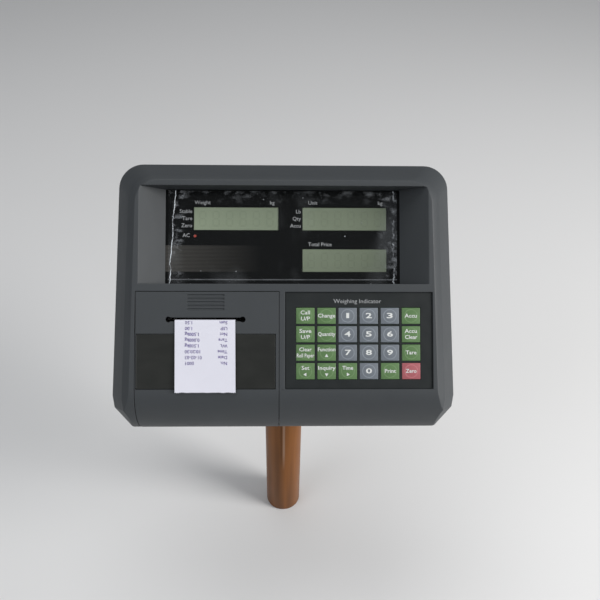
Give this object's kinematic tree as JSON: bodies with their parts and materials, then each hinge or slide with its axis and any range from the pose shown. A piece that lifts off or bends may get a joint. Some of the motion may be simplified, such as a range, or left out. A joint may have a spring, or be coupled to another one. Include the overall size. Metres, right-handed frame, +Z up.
{
  "type": "label printing scale indicator head",
  "caption": "Tilting weighing indicator head with display, keypad and built-in receipt printer, on a swivelling column.",
  "frame": {"origin": "middle of the flat lower end of the column", "axes": "+Z up along the column, +X to the right of the person who reads the display, +Y away from that person"},
  "size_m": [0.2644, 0.1704, 0.3914],
  "materials": {
    "casing_plastic": "charcoal ABS with a fine spark-eroded grain",
    "display_gloss": "glossy black screen-printed acrylic",
    "clear_film": "thin clear protective film, slightly wrinkled",
    "lcd_glass": "grey-green liquid crystal glass",
    "smoked_acrylic": "dark smoked acrylic",
    "overlay_print": "dark screen-printed polyester",
    "key_green": "green printed polyester with an embossed dome",
    "key_grey": "blue-grey printed polyester with an embossed dome",
    "key_red": "red printed polyester with an embossed dome",
    "circuit_board": "green solder mask",
    "bright_steel": "plain bright steel",
    "black_paint": "semi-gloss black powder coat",
    "black_plastic": "black moulded plastic",
    "white_plastic": "natural acetal",
    "roller_rubber": "ground black rubber",
    "receipt_paper": "uncoated white receipt paper",
    "laminated_core": "varnished steel laminations",
    "column_lacquer": "glossy brown lacquer"
  },
  "bodies": {
    "column": {"column": "column_lacquer"},
    "swivel": {"column_head": "black_paint"},
    "swivel_clamp": {"swivel_knob": "black_plastic"},
    "head": {"front_cover": "casing_plastic", "rear_housing": "casing_plastic", "cover_hinge_pin": "bright_steel", "display_panel": "display_gloss", "display_film": "clear_film", "lcd_weight": "lcd_glass", "lcd_unit_price": "lcd_glass", "lcd_total_price": "lcd_glass", "display_board": "circuit_board", "keypad_overlay": "overlay_print", "keypad_board": "circuit_board", "printer_frame": "bright_steel", "printer_motor": "bright_steel", "ribbon_cartridge": "white_plastic", "roll_spindle": "black_plastic", "main_board": "circuit_board", "transformer": "laminated_core", "battery": "black_plastic", "power_inlet": "black_plastic", "switch_frame": "black_plastic", "scale_socket": "bright_steel", "head_bracket": "black_paint", "pivot_bolt": "bright_steel"},
    "tilt_clamp": {"tilt_knob": "black_plastic"},
    "printer_lid": {"printer_cover": "casing_plastic", "printer_window": "smoked_acrylic", "paper_strip": "receipt_paper"},
    "roll": {"paper_roll": "receipt_paper"},
    "platen": {"platen_roller": "roller_rubber"},
    "motor_pinion": {"motor_gear": "white_plastic"},
    "carriage": {"print_carriage": "black_plastic"},
    "rocker": {"power_rocker": "black_plastic"},
    "battery_hatch": {"battery_door": "casing_plastic"},
    "key_call_price_cap": {"key_call_price": "key_green"},
    "key_change_cap": {"key_change": "key_green"},
    "key_1_cap": {"key_1": "key_grey"},
    "key_2_cap": {"key_2": "key_grey"},
    "key_3_cap": {"key_3": "key_grey"},
    "key_accumulate_cap": {"key_accumulate": "key_green"},
    "key_save_price_cap": {"key_save_price": "key_green"},
    "key_quantity_cap": {"key_quantity": "key_green"},
    "key_4_cap": {"key_4": "key_grey"},
    "key_5_cap": {"key_5": "key_grey"},
    "key_6_cap": {"key_6": "key_grey"},
    "key_clear_total_cap": {"key_clear_total": "key_green"},
    "key_clear_cap": {"key_clear": "key_green"},
    "key_function_cap": {"key_function": "key_green"},
    "key_7_cap": {"key_7": "key_grey"},
    "key_8_cap": {"key_8": "key_grey"},
    "key_9_cap": {"key_9": "key_grey"},
    "key_tare_cap": {"key_tare": "key_green"},
    "key_set_cap": {"key_set": "key_green"},
    "key_inquiry_cap": {"key_inquiry": "key_green"},
    "key_time_cap": {"key_time": "key_green"},
    "key_0_cap": {"key_0": "key_grey"},
    "key_print_cap": {"key_print": "key_green"},
    "key_zero_cap": {"key_zero": "key_red"}
  },
  "joints": [
    {"name": "column_swivel", "type": "hinge", "parent": "column", "child": "swivel", "pos_m": [0, 0, 0.18], "axis": [0, 0, 1], "range_deg": [-90, 90]},
    {"name": "head_tilt", "type": "hinge", "parent": "swivel", "child": "head", "pos_m": [0, 0, 0.229], "axis": [1, 0, 0], "range_deg": [-15, 30]},
    {"name": "swivel_knob_turn", "type": "hinge", "parent": "swivel", "child": "swivel_clamp", "pos_m": [0, 0.037, 0.181], "axis": [0, 1, 0], "range_deg": [0, 180]},
    {"name": "tilt_knob_turn", "type": "hinge", "parent": "head", "child": "tilt_clamp", "pos_m": [0.036, 0, 0.229], "axis": [1, 0, 0], "range_deg": [0, 270]},
    {"name": "cover_open", "type": "hinge", "parent": "head", "child": "printer_lid", "pos_m": [-0.057, -0.08697, 0.24173], "axis": [1, 0, 0], "range_deg": [0, 95]},
    {"name": "roll_spin", "type": "hinge", "parent": "head", "child": "roll", "pos_m": [-0.0584, -0.04808, 0.26011], "axis": [1, 0, 0], "continuous": true},
    {"name": "platen_turn", "type": "hinge", "parent": "head", "child": "platen", "pos_m": [-0.0584, -0.03889, 0.31315], "axis": [1, 0, 0], "continuous": true},
    {"name": "motor_gear_turn", "type": "hinge", "parent": "head", "child": "motor_pinion", "pos_m": [-0.017, -0.04213, 0.30107], "axis": [1, 0, 0], "continuous": true},
    {"name": "carriage_shift", "type": "slide", "parent": "head", "child": "carriage", "axis": [1, 0, 0], "range_m": [0, 0.011]},
    {"name": "switch_rock", "type": "hinge", "parent": "head", "child": "rocker", "pos_m": [-0.046, 0.0396, 0.30395], "axis": [1, 0, 0], "range_deg": [0, 16]},
    {"name": "battery_door_open", "type": "hinge", "parent": "head", "child": "battery_hatch", "pos_m": [0.076, -0.04808, 0.21627], "axis": [-1, 0, 0], "range_deg": [0, 110]},
    {"name": "key_call_price_press", "type": "slide", "parent": "head", "child": "key_call_price_cap", "axis": [0, 0.7071, -0.7071], "range_m": [0, 0.0005], "stiffness_N_per_m": 500, "springref_m": -0.0006},
    {"name": "key_change_press", "type": "slide", "parent": "head", "child": "key_change_cap", "axis": [0, 0.7071, -0.7071], "range_m": [0, 0.0005], "stiffness_N_per_m": 500, "springref_m": -0.0006},
    {"name": "key_1_press", "type": "slide", "parent": "head", "child": "key_1_cap", "axis": [0, 0.7071, -0.7071], "range_m": [0, 0.0005], "stiffness_N_per_m": 500, "springref_m": -0.0006},
    {"name": "key_2_press", "type": "slide", "parent": "head", "child": "key_2_cap", "axis": [0, 0.7071, -0.7071], "range_m": [0, 0.0005], "stiffness_N_per_m": 500, "springref_m": -0.0006},
    {"name": "key_3_press", "type": "slide", "parent": "head", "child": "key_3_cap", "axis": [0, 0.7071, -0.7071], "range_m": [0, 0.0005], "stiffness_N_per_m": 500, "springref_m": -0.0006},
    {"name": "key_accumulate_press", "type": "slide", "parent": "head", "child": "key_accumulate_cap", "axis": [0, 0.7071, -0.7071], "range_m": [0, 0.0005], "stiffness_N_per_m": 500, "springref_m": -0.0006},
    {"name": "key_save_price_press", "type": "slide", "parent": "head", "child": "key_save_price_cap", "axis": [0, 0.7071, -0.7071], "range_m": [0, 0.0005], "stiffness_N_per_m": 500, "springref_m": -0.0006},
    {"name": "key_quantity_press", "type": "slide", "parent": "head", "child": "key_quantity_cap", "axis": [0, 0.7071, -0.7071], "range_m": [0, 0.0005], "stiffness_N_per_m": 500, "springref_m": -0.0006},
    {"name": "key_4_press", "type": "slide", "parent": "head", "child": "key_4_cap", "axis": [0, 0.7071, -0.7071], "range_m": [0, 0.0005], "stiffness_N_per_m": 500, "springref_m": -0.0006},
    {"name": "key_5_press", "type": "slide", "parent": "head", "child": "key_5_cap", "axis": [0, 0.7071, -0.7071], "range_m": [0, 0.0005], "stiffness_N_per_m": 500, "springref_m": -0.0006},
    {"name": "key_6_press", "type": "slide", "parent": "head", "child": "key_6_cap", "axis": [0, 0.7071, -0.7071], "range_m": [0, 0.0005], "stiffness_N_per_m": 500, "springref_m": -0.0006},
    {"name": "key_clear_total_press", "type": "slide", "parent": "head", "child": "key_clear_total_cap", "axis": [0, 0.7071, -0.7071], "range_m": [0, 0.0005], "stiffness_N_per_m": 500, "springref_m": -0.0006},
    {"name": "key_clear_press", "type": "slide", "parent": "head", "child": "key_clear_cap", "axis": [0, 0.7071, -0.7071], "range_m": [0, 0.0005], "stiffness_N_per_m": 500, "springref_m": -0.0006},
    {"name": "key_function_press", "type": "slide", "parent": "head", "child": "key_function_cap", "axis": [0, 0.7071, -0.7071], "range_m": [0, 0.0005], "stiffness_N_per_m": 500, "springref_m": -0.0006},
    {"name": "key_7_press", "type": "slide", "parent": "head", "child": "key_7_cap", "axis": [0, 0.7071, -0.7071], "range_m": [0, 0.0005], "stiffness_N_per_m": 500, "springref_m": -0.0006},
    {"name": "key_8_press", "type": "slide", "parent": "head", "child": "key_8_cap", "axis": [0, 0.7071, -0.7071], "range_m": [0, 0.0005], "stiffness_N_per_m": 500, "springref_m": -0.0006},
    {"name": "key_9_press", "type": "slide", "parent": "head", "child": "key_9_cap", "axis": [0, 0.7071, -0.7071], "range_m": [0, 0.0005], "stiffness_N_per_m": 500, "springref_m": -0.0006},
    {"name": "key_tare_press", "type": "slide", "parent": "head", "child": "key_tare_cap", "axis": [0, 0.7071, -0.7071], "range_m": [0, 0.0005], "stiffness_N_per_m": 500, "springref_m": -0.0006},
    {"name": "key_set_press", "type": "slide", "parent": "head", "child": "key_set_cap", "axis": [0, 0.7071, -0.7071], "range_m": [0, 0.0005], "stiffness_N_per_m": 500, "springref_m": -0.0006},
    {"name": "key_inquiry_press", "type": "slide", "parent": "head", "child": "key_inquiry_cap", "axis": [0, 0.7071, -0.7071], "range_m": [0, 0.0005], "stiffness_N_per_m": 500, "springref_m": -0.0006},
    {"name": "key_time_press", "type": "slide", "parent": "head", "child": "key_time_cap", "axis": [0, 0.7071, -0.7071], "range_m": [0, 0.0005], "stiffness_N_per_m": 500, "springref_m": -0.0006},
    {"name": "key_0_press", "type": "slide", "parent": "head", "child": "key_0_cap", "axis": [0, 0.7071, -0.7071], "range_m": [0, 0.0005], "stiffness_N_per_m": 500, "springref_m": -0.0006},
    {"name": "key_print_press", "type": "slide", "parent": "head", "child": "key_print_cap", "axis": [0, 0.7071, -0.7071], "range_m": [0, 0.0005], "stiffness_N_per_m": 500, "springref_m": -0.0006},
    {"name": "key_zero_press", "type": "slide", "parent": "head", "child": "key_zero_cap", "axis": [0, 0.7071, -0.7071], "range_m": [0, 0.0005], "stiffness_N_per_m": 500, "springref_m": -0.0006}
  ],
  "couplings": [
    {"joint": "motor_gear_turn", "follows": "platen_turn", "ratio": -1.5}
  ]
}
